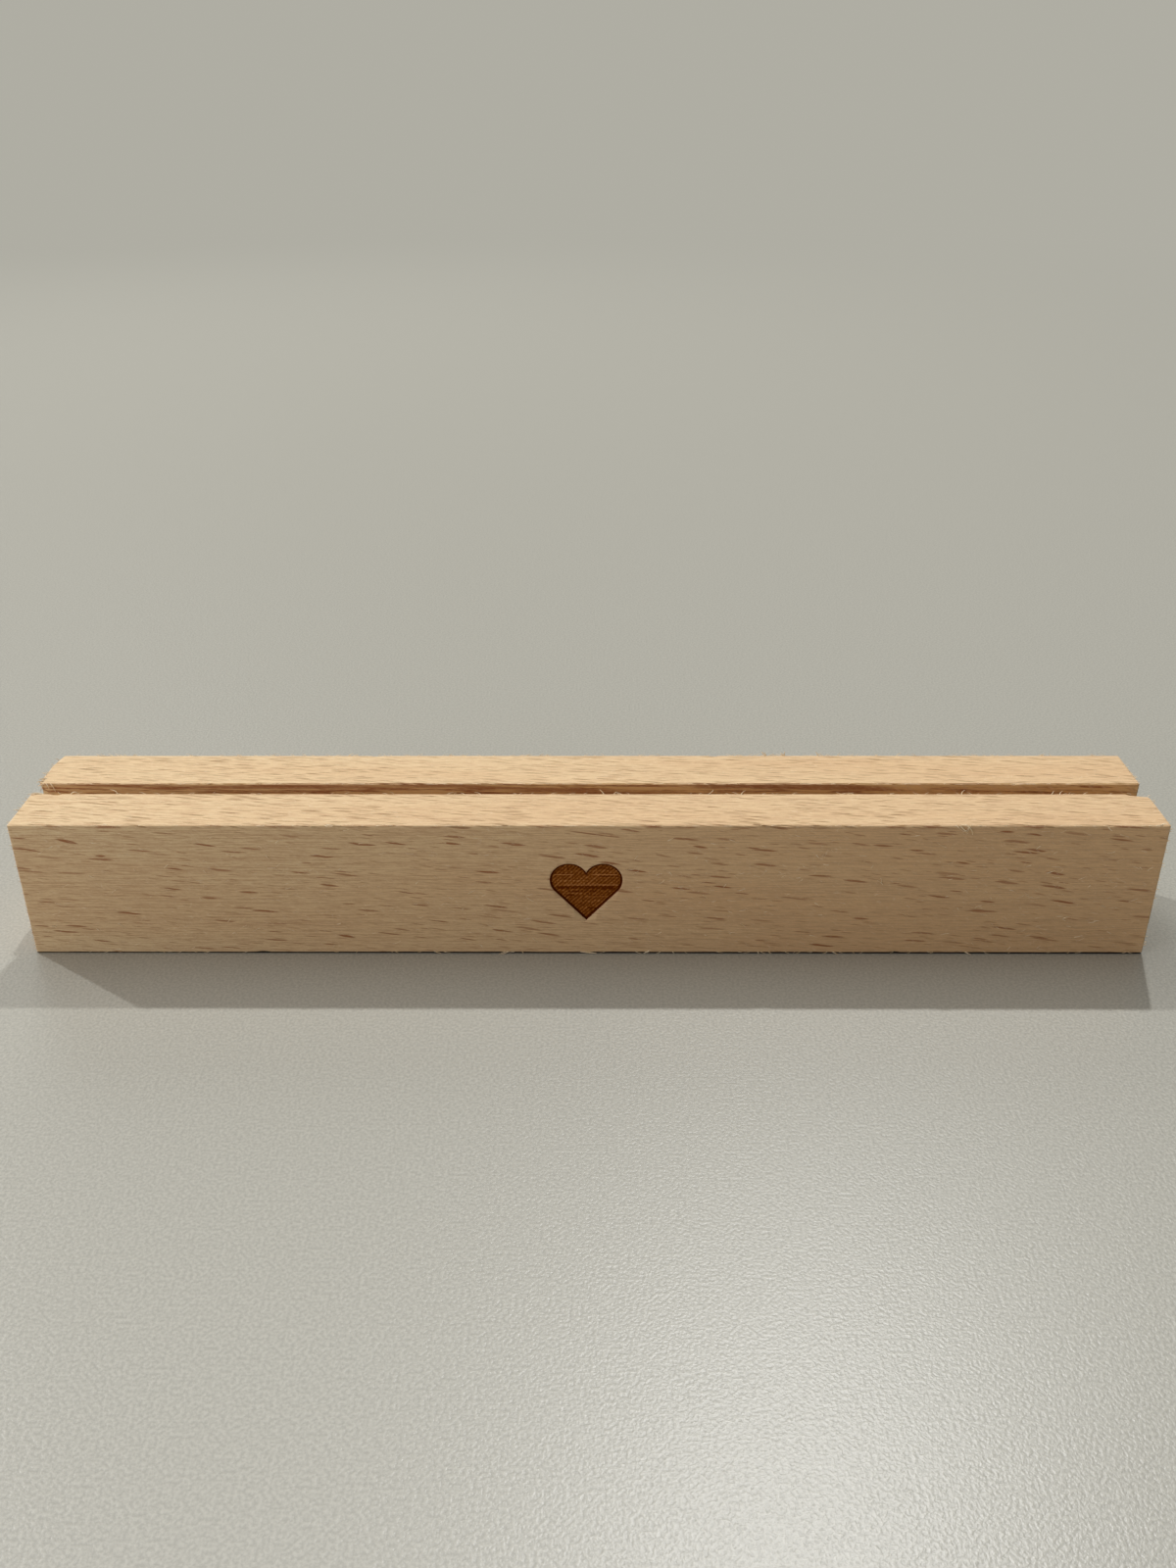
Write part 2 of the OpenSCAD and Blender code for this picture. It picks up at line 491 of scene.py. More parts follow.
def sawn_grain(look, bar):
    """The walls and the floor of the slot, with the marks of the saw's teeth."""
    graph = Graph("beech_sawn_slot")
    tree = Tree(graph)
    streaks = tree.fibres(0.14, 2.4, detail=3, roughness=0.65)
    patches = tree.fibres(0.045, 0.9)
    fuzz = tree.fibres(0.9, 3.6, roughness=0.7)
    # A tooth leaves an arc of the blade's radius, which touches the slot's floor
    radius, pitch = bar.saw_radius / MM, bar.saw_pitch / MM
    drop = radius + (bar.height - bar.slot_depth) / MM - tree.z
    sweep = tree.x + graph.math("SQRT", graph.largest(radius * radius - drop * drop, 0.0))
    mark = graph.math("PINGPONG", sweep + tree.wander * 6.0, pitch / 2)
    places = tree.noise(0.3, 0.0, 0.3, shift=4.0)
    light = (
        graph.smooth(mark, pitch * 0.28, pitch * 0.48) * graph.smooth(places, 0.38, 0.52)
        * graph.smooth(tree.x, SAW_MARKS_FROM_MM, SAW_MARKS_FROM_MM + 8.0, 0.15, 1.0))
    dark = graph.largest(
        graph.smooth(streaks, 0.47, 0.62) * 0.92, graph.smooth(patches, 0.48, 0.62) * 0.80,
        tree.rays(4.5, 0.30, 0.34, 0.40, shift=2.1) * 0.60)
    paler = graph.smooth(tree.x, 0.0, bar.length / MM * -0.4, 0.0, 0.45)
    # The walls are darker than planed wood: partly sawn wood, partly painted shade in the slot
    colour = graph.paint(
        graph.mix(paler, look.sawn_and_slot_shade, look.pale), (dark, look.ray),
        (light * 0.42 + graph.smooth(fuzz, 0.46, 0.72) * 0.40, look.warm))
    return graph.finish(colour, 0.8, fuzz + light * 0.5, 0.08 * MM)


def end_grain(look):
    """The sawn ends: rings, fine pale rays that run out from the pith, and open pores."""
    graph = Graph("beech_end_grain")
    tree = Tree(graph)
    # Late wood darkens slowly towards the end of a ring, and the next ring starts at once
    ring = graph.math("FRACT", (tree.out + tree.wander) / RING_MM)
    late = graph.smooth(ring, 0.55, 0.97) * graph.smooth(ring, 1.0, 0.97)
    fine = graph.noise(
        graph.vector(tree.round * 2.2, tree.out * 0.10, tree.x * 0.2), roughness=0.6)
    broad = graph.noise(graph.vector(tree.round * 0.9, tree.out * 0.05, 7.0), detail=1)
    pores, saw = tree.noise(1.0, 7.0, 7.0), tree.noise(1.0, 0.4, 4.0)
    blotch = tree.noise(0.0, 0.25, 0.25, detail=3, shift=3.0)
    colour = graph.paint(
        look.end, (graph.smooth(blotch, 0.3, 0.7), look.warm), (late * 0.55, look.ray),
        (graph.smooth(pores, 0.55, 0.75) * 0.45, look.ray),
        (graph.layers((fine, 0.56, 0.70, 0.55), (broad, 0.62, 0.72, 0.35)), look.pale))
    return graph.finish(colour, 0.85, pores * 0.7 + saw * 0.5, 0.06 * MM)


def raised_fibre(look):
    """Pale fibres that stand off the wood."""
    graph = Graph("beech_fibre")
    change = Tree(graph).noise(1.5, 1.5, 1.5)
    colour = graph.mix(graph.smooth(change, 0.35, 0.7), look.fibre, look.pale)
    return graph.finish(colour, 0.7, change, 0.01 * MM)


# Grain that shows through the burn: height, half width, how far it reaches to the left and to
# the right, all in millimetres, and how much lighter or darker it is
BURNT_GRAIN = (
    (12.47, 0.09, -4.6, -1.6, 0.75), (12.46, 0.08, 0.3, 4.2, 0.80), (10.87, 0.09, -3.4, 4.3, 0.85),
    (12.20, 0.14, 1.4, 4.5, -0.50), (10.45, 0.32, -4.2, 4.0, -0.40), (9.90, 0.20, -2.8, 1.6, -0.25),
    (9.26, 0.17, -3.0, -1.6, -0.55), (9.05, 0.10, -0.6, 3.0, 0.45), (7.25, 0.17, -0.1, 1.4, -0.50),
    (11.55, 0.07, -3.9, 1.2, 0.35), (9.60, 0.07, -3.6, -0.4, 0.45), (13.86, 0.09, 2.7, 3.5, 0.90),
)


def burnt_wood(look, heart):
    """The field of the heart: brown ridges and dark lines at 45 degrees, crossed by the grain."""
    graph = Graph("beech_burnt")
    tree = Tree(graph)
    pitch = heart.hatch_pitch / MM
    across = (tree.x - tree.z) * math.sqrt(0.5)
    ridge = graph.smooth(
        graph.math("PINGPONG", across, pitch / 2), pitch * 0.44, pitch * 0.10)
    grain = tree.fibres(0.16, 2.6, detail=3, roughness=0.65)
    beads = graph.smooth(tree.noise(3.0, 0.0, 3.0, detail=1, roughness=0.6), 0.36, 0.64)
    # Painted light: below 8 mm the field is paler than above 9.5 mm
    light = (
        ridge * (beads * 0.38 + 0.19) + beads * 0.13
        + graph.smooth(grain, 0.38, 0.68) * 0.24 + graph.smooth(tree.z, 9.5, 8.0, -0.04, 0.0))
    for level, half, left, right, change in BURNT_GRAIN:
        band = (
            graph.smooth(abs(tree.z - level), half, half * 0.3)
            * graph.smooth(tree.x, left, left + 0.5) * graph.smooth(tree.x, right, right - 0.5))
        light = light + band * change
    colour = graph.paint(
        look.singed, (light * 2.0, look.scorched), (graph.smooth(light, 0.40, 1.15), look.burnt))
    return graph.finish(colour, 1.0, beads + grain, 0.03 * MM, specular=0.02)


def charred_wood(look):
    """The outline of the heart, burnt darker than its field."""
    graph = Graph("beech_charred")
    crust = Tree(graph).noise(2.0, 2.0, 2.0)
    colour = graph.mix(graph.smooth(crust, 0.45, 0.75) * 0.5, look.charred, look.singed)
    return graph.finish(colour, 0.9, crust, 0.02 * MM, specular=0.05)


# How many grains the floor has in a metre, and how high they stand
FLOOR_GRAIN, FLOOR_BUMPS = 2800, 0.045 * MM
# From how far out to how far out the floor turns into the backdrop
BACKDROP_FROM, BACKDROP_FULL = 0.30, 0.90


def plain_floor(stage, bar):
    """A plain floor with a fine grain, whose specks of colour are partly painted glints, and
    painted shade under the bar.
    """
    graph = Graph("plain_floor")
    place = graph.add("ShaderNodeTexCoord", output="Object")
    grain = graph.noise(place, scale=FLOOR_GRAIN)
    # The grain's specks of colour are partly the floor's own, partly painted glints
    colour = graph.shade(tuple(stage.floor), graph.smooth(grain, 0.3, 0.7, 0.89, 1.11))
    # Painted shade: the floor is darkened under the bar, where hardly any light reaches.
    # It shows in the gap at the bar's front
    x, y = graph.add("ShaderNodeSeparateXYZ", None, {0: place}, output=(0, 1))
    outside = graph.largest(abs(x) - bar.length / 2, abs(y) - bar.width / 2)
    colour = graph.shade(colour, graph.smooth(outside, -0.10 * MM, 0.02 * MM, 0.12, 1.0))
    # To the camera, and in reflections, the floor far from the bar is a plain pale backdrop.
    # The light that it throws back on the bar is that of a real floor.
    away = graph.add("ShaderNodeVectorMath", {"operation": "LENGTH"}, {0: place}, output="Value")
    camera, glossy, through = graph.add(
        "ShaderNodeLightPath", output=("Is Camera Ray", "Is Glossy Ray", "Is Transmission Ray"))
    seen = graph.largest(camera, glossy, through)
    backdrop = (stage.backdrop, seen * graph.smooth(away, BACKDROP_FROM, BACKDROP_FULL))
    return graph.finish(colour, 0.33, grain, FLOOR_BUMPS, specular=0.52, backdrop=backdrop)


# Shapes

# Points closer together than this are one point, and an edge bent more than this is a hard one
NEAR, SHARP_FROM = 0.001 * MM, math.radians(32)
# How many steps the arc of one lobe of the heart has, and how high a row of its field is
LOBE_STEPS, FIELD_ROW = 56, 0.22 * MM
# How many waves in a metre the field has along and across its grain, and how many its roughness
FIELD_ALONG, FIELD_ACROSS, FIELD_ROUGH = 250, 2200, 3000


def all_of(bm):
    """Every vertex, edge and face of a mesh in the making."""
    return bm.verts[:] + bm.edges[:] + bm.faces[:]


def cut_across(bm, axis, place):
    """Cuts the faces along the plane that crosses an axis at a place."""
    at, normal = Vector(), Vector()
    at[axis], normal[axis] = place, 1.0
    bmesh.ops.bisect_plane(bm, geom=all_of(bm), plane_co=at, plane_no=normal)


def keep_mesh(bm, name, materials):
    """Makes an object of a finished mesh, smooth but for its hard edges."""
    mesh = bpy.data.meshes.new(name)
    bm.to_mesh(mesh)
    bm.free()
    for material in materials:
        mesh.materials.append(material)
    mesh.shade_smooth()
    mesh.set_sharp_from_angle(angle=SHARP_FROM)
    piece = bpy.data.objects.new(name, mesh)
    bpy.context.scene.collection.objects.link(piece)
    return piece


# Where lines run along the bar, in shares: on its top from the edge to the slot, and on its sides
# from the foot to the slot's floor. Above that floor the sides have so many rows.
TOP_LINES = (0.0, 0.02, 0.06, 0.15, 0.32, 0.55, 0.78, 0.92, 0.98)
LOW_LINES = (0.15, 0.3, 0.5, 0.7, 0.85, 1.0)
WALL_ROWS = 20


def bar_section(bm, bar):
    """The bar's U-shaped section at its left end, cut into small faces whose lines lie close
    together along the edges and on the walls of the slot."""
    half, top, slot = bar.width / 2, bar.height, bar.slot_width / 2
    edge, floor = bar.edge, top - bar.slot_depth
    turn = Matrix(((0, 0, 1), (1, 0, 0), (0, 1, 0))).to_4x4()
    place = Matrix.Translation((-bar.length / 2, 0, top / 2)) @ turn @ Matrix.Diagonal(
        (bar.width, bar.height, 1, 1))
    bmesh.ops.create_grid(bm, x_segments=1, y_segments=1, size=0.5, matrix=place)
    for share in TOP_LINES:
        side = half - edge - share * (half - edge - slot)
        for line in (-side, side):
            cut_across(bm, 1, line)
    for line in (-slot, -slot / 2, 0.0, slot / 2, slot):
        cut_across(bm, 1, line)
    for line in (edge, 3 * edge, top - edge, top - 3 * edge, top - edge / 2):
        cut_across(bm, 2, line)
    for share in LOW_LINES:
        cut_across(bm, 2, floor * share)
    for step in range(1, WALL_ROWS):
        cut_across(bm, 2, floor + (top - 3 * edge - floor) * step / WALL_ROWS)
    inside = [
        face for face in bm.faces
        if abs(face.calc_center_median().y) < slot and face.calc_center_median().z > floor]
    bmesh.ops.delete(bm, geom=inside, context="FACES")


def exact_row(x, bar):
    """Where along the bar a row of points lies exactly. As Blender leaves them, the rounding of
    these places differs from run to run."""
    step = bar.length / bar.columns
    row = round((x + bar.length / 2) / step) * step - bar.length / 2
    return row if abs(row - x) < bar.edge / 4 else math.copysign(bar.length / 2 - bar.edge, x)


def sides_at(place, bar):
    """Which ways out of the wood a point on the surface of the plain bar looks."""
    half_l, half_w, slot = bar.length / 2, bar.width / 2, bar.slot_width / 2
    floor = bar.height - bar.slot_depth
    ways = []
    for axis, low, high in ((0, -half_l, half_l), (1, -half_w, half_w), (2, 0.0, bar.height)):
        for limit, way in ((low, -1), (high, 1)):
            if abs(place[axis] - limit) < NEAR:
                ways.append(Matrix.Identity(3)[axis] * way)
    if abs(abs(place.y) - slot) < NEAR and place.z > floor + NEAR:
        ways.append(Vector((0, -math.copysign(1, place.y), 0)))
    elif abs(place.y) < slot and abs(place.z - floor) < NEAR:
        ways.append(Vector((0, 0, 1)))
    return ways


def saw_height(x, z, bar):
    """How far a tooth mark on the slot's walls lies below the plain wall, from 0 to 1."""
    radius = bar.saw_radius
    drop = radius + bar.height - bar.slot_depth - z
    sweep = x + math.sqrt(max(radius * radius - drop * drop, 0.0))
    phase = sweep / bar.saw_pitch + 0.3 * noise.noise(Vector((x, 0, z)) * 150)
    return abs(2 * (phase % 1.0) - 1)


def smooth_step(share):
    """Goes smoothly from 0 to 1 with a share, and stays there outside."""
    share = min(max(share, 0.0), 1.0)
    return share * share * (3 - 2 * share)


# Chips and splits along the edges: place, reach along x, reach across, and how far the wood is
# pushed in, all in millimetres.
CHIPS = (
    ((75.0, -1.4, 20.0), 3.2, 0.8, (-0.10, -0.10, -0.40)),
    ((-75.0, 10.0, 20.0), 0.5, 2.2, (0.5, -0.05, -0.1)),
    ((-75.0, 1.4, 18.6), 1.0, 1.5, (0.20, 0.22, 0.0)),
    ((-71.6, -1.5, 20.0), 0.9, 0.25, (0.0, -0.1, -0.2)),
    ((17.8, 10.0, 20.0), 0.9, 0.3, (0.0, -0.15, -0.12)),
    ((25.4, -10.0, 20.0), 1.7, 0.25, (0.0, 0.14, -0.1)),
    ((67.1, -10.0, 20.0), 0.5, 0.25, (0.0, 0.12, -0.12)),
    ((-44.0, -10.0, 0.0), 1.1, 0.3, (0.0, 0.12, 0.12)),
    ((41.5, -10.0, 0.0), 0.8, 0.3, (0.0, 0.1, 0.14)),
    ((58.0, 1.5, 20.0), 0.7, 0.25, (0.0, 0.12, -0.15)),
    ((-12.0, 10.0, 0.0), 0.9, 0.3, (0.0, -0.12, 0.12)),
    ((-30.0, 10.0, 20.0), 1.2, 0.3, (0.0, -0.12, -0.12)),
)

# How many waves in a metre the wear of the edges, its nicks and the roughness of the ends have,
# and how high a wave has to rise before it makes a nick
WEAR_WAVES, NICK_WAVES, END_WAVES, NICK_FROM = 120, 900, 1500, 0.12
# How long and how slanted the saw marks on the ends are
END_MARK, END_SLANT = 0.9 * MM, 0.35
# The underside is a little hollow: it leaves a gap under the front, and this is how high the gap
# is at the right and at the left end, and how far it reaches in under the bar
GAP_HEIGHT, LEFT_GAP_HEIGHT, GAP_REACH = 0.25 * MM, 0.10 * MM, 2.6 * MM


def worn_place(place, bar):
    """Where a point of the plain bar lies on the real one: edges softened and nicked, sawn faces
    marked by the teeth."""
    ways = sides_at(place, bar)
    if not ways:
        return place
    moved = place.copy()
    wave = noise.noise(place * WEAR_WAVES + Vector((3, 5, 7)))
    nick = max(0.0, noise.noise(place * NICK_WAVES) - NICK_FROM) * 2.0
    if len(ways) > 1:
        pull = bar.edge * 0.29 + bar.wear * (0.35 * abs(wave) + 0.6 * nick)
        for way in ways:
            moved -= way * pull
    elif abs(ways[0].x) > 0.5:
        moved.x -= ways[0].x * bar.saw_mark * (
            0.5 + 0.5 * math.sin((place.z + place.y * END_SLANT) / END_MARK)
            + 0.6 * noise.noise(place * END_WAVES))
    elif abs(place.y) < bar.slot_width / 2 + 0.01 * MM and place.z > (
            bar.height - bar.slot_depth - 0.01 * MM):
        moved -= ways[0] * bar.saw_mark * saw_height(place.x, place.z, bar)
    for at, along, across, push in CHIPS:
        apart = place / MM - Vector(at)
        reach = math.sqrt((apart.x / along) ** 2 + (apart.yz.length / across) ** 2)
        if reach < 1.0:
            moved += Vector(push) * MM * (1 - reach * reach)
    if place.z < bar.edge:
        share = (GAP_REACH - bar.width / 2 - place.y) / GAP_REACH
        gap = LEFT_GAP_HEIGHT + (GAP_HEIGHT - LEFT_GAP_HEIGHT) * smooth_step(
            1 + 2 * place.x / bar.length)
        moved.z += gap * (0.85 + 0.4 * wave) * smooth_step(share) * (
            1.0 if place.z < bar.edge / 2 else 0.5)
    moved.z = max(moved.z, 0.0)
    return moved


def heart_measures(heart):
    """Lobe radius, distance of a lobe's centre from the middle, drop of the tip, rise of the
    notch, and the angle between the middle line and a straight side."""
    lobe = heart.lobe_share * heart.width
    apart = heart.width / 2 - lobe
    drop = heart.height - lobe
    rise = math.sqrt(lobe * lobe - apart * apart)
    lean = math.atan2(apart, drop) + math.asin(lobe / math.hypot(apart, drop))
    return lobe, apart, drop, rise, lean


def heart_face(bm, heart, y):
    """The heart's outline as one face that looks to the front."""
    lobe, apart, drop, rise, lean = heart_measures(heart)
    notch = bm.verts.new((0, y, rise))
    arc = bmesh.ops.spin(
        bm, geom=[notch], cent=(apart, y, 0), axis=(0, 1, 0), steps=LOBE_STEPS,
        angle=math.pi - math.asin(rise / lobe) + lean)
    last = next(item for item in arc["geom_last"] if isinstance(item, bmesh.types.BMVert))
    tip = bmesh.ops.extrude_vert_indiv(bm, verts=[last])["verts"][0]
    tip.co = (0, y, -drop)
    bmesh.ops.mirror(bm, geom=all_of(bm), matrix=Matrix(), merge_dist=NEAR, axis="X")
    face = bmesh.ops.contextual_create(bm, geom=bm.edges[:])["faces"][0]
    bmesh.ops.translate(bm, verts=bm.verts[:], vec=(heart.middle_x, 0, heart.top_z - lobe))
    face.normal_update()
    if face.normal.y > 0:
        face.normal_flip()
    return face


def push_back(bm, face, y):
    """Makes a solid of a flat face by drawing a copy of it back to y."""
    copy = bmesh.ops.extrude_face_region(bm, geom=[face], use_keep_orig=True)["geom"]
    moved = [item for item in copy if isinstance(item, bmesh.types.BMVert)]
    bmesh.ops.translate(bm, verts=moved, vec=(0, y - face.calc_center_median().y, 0))
    bmesh.ops.recalc_face_normals(bm, faces=bm.faces[:])


def cut_pocket(piece, heart):
    """Cuts the heart's pocket into the front of the bar."""
    bm = bmesh.new()
    front = BAR_LOW.y - 0.5 * MM
    push_back(bm, heart_face(bm, heart, front), heart.back_y)
    cutter = keep_mesh(bm, "pocket_cutter", [])
    cut = piece.modifiers.new("pocket", "BOOLEAN")
    cut.operation, cut.solver, cut.object = "DIFFERENCE", "EXACT", cutter
    depsgraph = bpy.context.evaluated_depsgraph_get()
    plain, made = piece.data, bpy.data.meshes.new_from_object(piece.evaluated_get(depsgraph))
    piece.modifiers.clear()
    piece.data = made
    made.name = plain.name
    bpy.data.meshes.remove(plain)
    bpy.data.meshes.remove(cutter.data)


# The map of the bar: each group of faces has a strip of its own, so the grain keeps one scale.
# A face may lie this far off the plain bar and still belong to a face of it.
MAP_SIDE_MM, MAP_GAP_MM = 156.0, 1.6
SLACK = 0.25 * MM
# On the map both ends share one strip, and the three faces of the slot have the sawn material
STRIP_MATERIALS = {"left": 1, "right": 1, "slot_front": 2, "slot_back": 2, "slot_floor": 2}
FLAT_STRIPS = ("under", "rail_front", "rail_back", "slot_floor")


def face_group(centre, normal, bar):
    """Which face of the bar a small face belongs to."""
    inner = bar.slot_width / 2 + SLACK
    floor = bar.height - bar.slot_depth - SLACK
    if abs(normal.x) > max(abs(normal.y), abs(normal.z)) and (
            abs(centre.x) > bar.length / 2 - 1.2 * MM):
        return "left" if normal.x < 0 else "right"
    if abs(centre.y) < inner and centre.z > floor and centre.z < bar.height - 0.04 * MM:
        if normal.z > 0.75 and centre.z < floor + 2 * SLACK:
            return "slot_floor"
        if abs(normal.y) > 0.6:
            return "slot_back" if centre.y > 0 else "slot_front"
    if abs(normal.z) > abs(normal.y):
        if normal.z < 0:
            return "under"
        return "rail_front" if centre.y < 0 else "rail_back"
    return "front" if centre.y < 0 else "back"


def lay_out_map(mesh, bar):
    """Gives each face its material and its place on the bar's map."""
    rail = (bar.width - bar.slot_width) / 2 / MM
    tall, wide, deep = bar.height / MM, bar.width / MM, bar.slot_depth / MM
    slot = bar.slot_width / MM
    # Each strip: where it starts on the map, and which place across the bar lies there
    strips, level = {}, MAP_GAP_MM
    for group, reach, low in (
            ("front", tall, 0.0), ("back", tall, 0.0), ("under", wide, -wide / 2),
            ("rail_front", rail, -wide / 2), ("rail_back", rail, wide / 2 - rail),
            ("slot_front", deep, tall - deep), ("slot_back", deep, tall - deep),
            ("slot_floor", slot, -slot / 2), ("left", tall, 0.0)):
        strips[group] = level, low
        level += reach + MAP_GAP_MM
    strips["right"] = strips["left"]
    bm = bmesh.new()
    bm.from_mesh(mesh)
    layer = bm.loops.layers.uv.new("OFBake")
    for face in bm.faces:
        group = face_group(face.calc_center_median(), face.normal, bar)
        face.material_index = STRIP_MATERIALS.get(group, 0)
        level, low = strips[group]
        for loop in face.loops:
            x, y, z = loop.vert.co / MM
            up = y if group in FLAT_STRIPS else z
            run = x + bar.length / MM / 2
            if group in ("left", "right"):
                run = y + wide / 2 + (0 if group == "left" else wide + 2 * MAP_GAP_MM)
            loop[layer].uv = (run + MAP_GAP_MM) / MAP_SIDE_MM, (level + up - low) / MAP_SIDE_MM
    bm.to_mesh(mesh)
    bm.free()


def settings():
    """The card holder's settings in the open scene."""
    return bpy.context.scene.card_holder


class CARDHOLDER_OT_bar(bpy.types.Operator):
    """Make the beech bar with its card slot and the pocket of the heart"""

    bl_idname = "card_holder.make_bar"
    bl_label = "Beech bar"

    def execute(self, context):
        bar, look = settings().bar, settings().wood
        bm = bmesh.new()
        bar_section(bm, bar)
        bmesh.ops.spin(
            bm, geom=all_of(bm), dvec=(bar.length, 0, 0), angle=0.0,
            axis=(1, 0, 0), cent=(0, 0, 0), steps=1)
        along = [
            edge for edge in bm.edges
            if abs(edge.verts[0].co.x - edge.verts[1].co.x) > bar.length / 2]
        bmesh.ops.subdivide_edges(bm, edges=along, cuts=bar.columns - 1, use_grid_fill=True)
        for side in (-1, 1):
            cut_across(bm, 0, side * (bar.length / 2 - bar.edge))
        for vert in bm.verts:
            vert.co.x = exact_row(vert.co.x, bar)
        bmesh.ops.recalc_face_normals(bm, faces=bm.faces[:])
        for vert, place in [(vert, worn_place(vert.co, bar)) for vert in bm.verts]:
            vert.co = place
        piece = keep_mesh(bm, "beech_bar", [])
        cut_pocket(piece, settings().heart)
        for material in (long_grain(look, bar), end_grain(look), sawn_grain(look, bar)):
            piece.data.materials.append(material)
        lay_out_map(piece.data, bar)
        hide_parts("holder_block")
        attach(piece, "root")
        return {"FINISHED"}


class CARDHOLDER_OT_heart(bpy.types.Operator):
    """Make the burnt heart: a deep dark outline round a field of burnt lines"""

    bl_idname = "card_holder.make_heart"
    bl_label = "Burnt heart"

    def execute(self, context):
        heart, look = settings().heart, settings().wood
        rim, wall = 0.06 * MM, 0.02 * MM
        bm = bmesh.new()
        field = heart_face(bm, heart, BAR_LOW.y)
        push_back(bm, field, heart.back_y)
        groove = heart.field_depth + heart.groove_depth
        for thickness, depth in (
                (rim, 0.0), (wall, -groove), (heart.outline - rim - 2 * wall, 0.0),
                (wall, heart.groove_depth), (heart.margin, 0.0)):
            bmesh.ops.inset_region(
                bm, faces=[field], thickness=thickness, depth=depth,
                use_boundary=True, use_even_offset=True)
        for face in bm.faces:
            face.material_index = 0 if face == field else 1
        self.burn_lines(bm, heart)
        # Cuts that meet at the notch and at the tip leave slivers there
        bmesh.ops.dissolve_degenerate(bm, dist=NEAR, edges=bm.edges[:])
        bmesh.ops.recalc_face_normals(bm, faces=bm.faces[:])
        piece = keep_mesh(
            bm, "burnt_heart", [burnt_wood(look, heart), charred_wood(look)])
        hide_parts("heart_burn")
        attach(piece, "root")
        return {"FINISHED"}

    def burn_lines(self, bm, heart):
        """Cuts the field along both sides of every burnt line and along the grain, and sinks
        the lines into it."""
        def field():
            """The faces of the field, with their edges and their corners."""
            faces = [face for face in bm.faces if face.material_index == 0]
            verts = {vert for face in faces for vert in face.verts}
            edges = {edge for face in faces for edge in face.edges}
            return faces, list(edges), list(verts)

        def cut(place, normal):
            """Cuts the field along a plane."""
            faces, edges, verts = field()
            bmesh.ops.bisect_plane(
                bm, geom=verts + edges + faces, plane_co=place, plane_no=normal)

        slant = Vector((1, 0, -1)).normalized()
        middle = Vector((heart.middle_x, 0, heart.top_z - heart.height / 2))
        cut(middle, Vector((1, 0, 0)))
        half = heart.hatch_pitch / 2
        offset = middle.dot(slant)
        reach = (heart.width + heart.height) / 2 * math.sqrt(0.5)
        for step in range(math.ceil((offset - reach) / half), int((offset + reach) / half) + 1):
            cut(slant * (step * half), slant)
        rows = int(heart.height / FIELD_ROW)
        for step in range(1, rows):
            level = heart.top_z - heart.height * step / rows
            cut(Vector((0, 0, level)), Vector((0, 0, 1)))
        _, _, verts = field()
        for vert in verts:
            phase = vert.co.dot(slant) / half
            sunk = abs((phase + 1) % 2 - 1)
            grain = noise.noise(
                Vector((vert.co.x * FIELD_ALONG, 2.0, vert.co.z * FIELD_ACROSS)))
            rough = noise.noise(vert.co * FIELD_ROUGH)
            vert.co.y += heart.hatch_depth * (0.8 * sunk + 0.35 * grain + 0.25 * rough)


def plain_fibre():
    """A tapered rod one long and one thick, which every fibre is a bent copy of."""
    bm = bmesh.new()
    bmesh.ops.create_cone(
        bm, cap_ends=True, segments=4, radius1=0.5, radius2=0.18, depth=1.0)
    along = [
        edge for edge in bm.edges if abs(edge.verts[0].co.z - edge.verts[1].co.z) > 0.5]
    bmesh.ops.subdivide_edges(bm, edges=along, cuts=4, use_grid_fill=True)
    mesh = bpy.data.meshes.new("plain_fibre")
    bm.to_mesh(mesh)
    bm.free()
    return mesh


def add_fibre(bm, rod, root, tip, bend, thickness):
    """A split fibre along a curve from its root to its tip, which bend pulls to one side."""
    first = len(bm.verts)
    bm.from_mesh(rod)
    bm.verts.ensure_lookup_table()
    middle = (root + tip) / 2 + bend
    for vert in bm.verts[first:]:
        share = vert.co.z + 0.5
        centre = root.lerp(middle, share).lerp(middle.lerp(tip, share), share)
        run = (middle - root).lerp(tip - middle, share).normalized()
        side = run.cross(Vector((0.31, 0.22, 0.93))).normalized()
        vert.co = centre + (side * vert.co.x + run.cross(side) * vert.co.y) * thickness


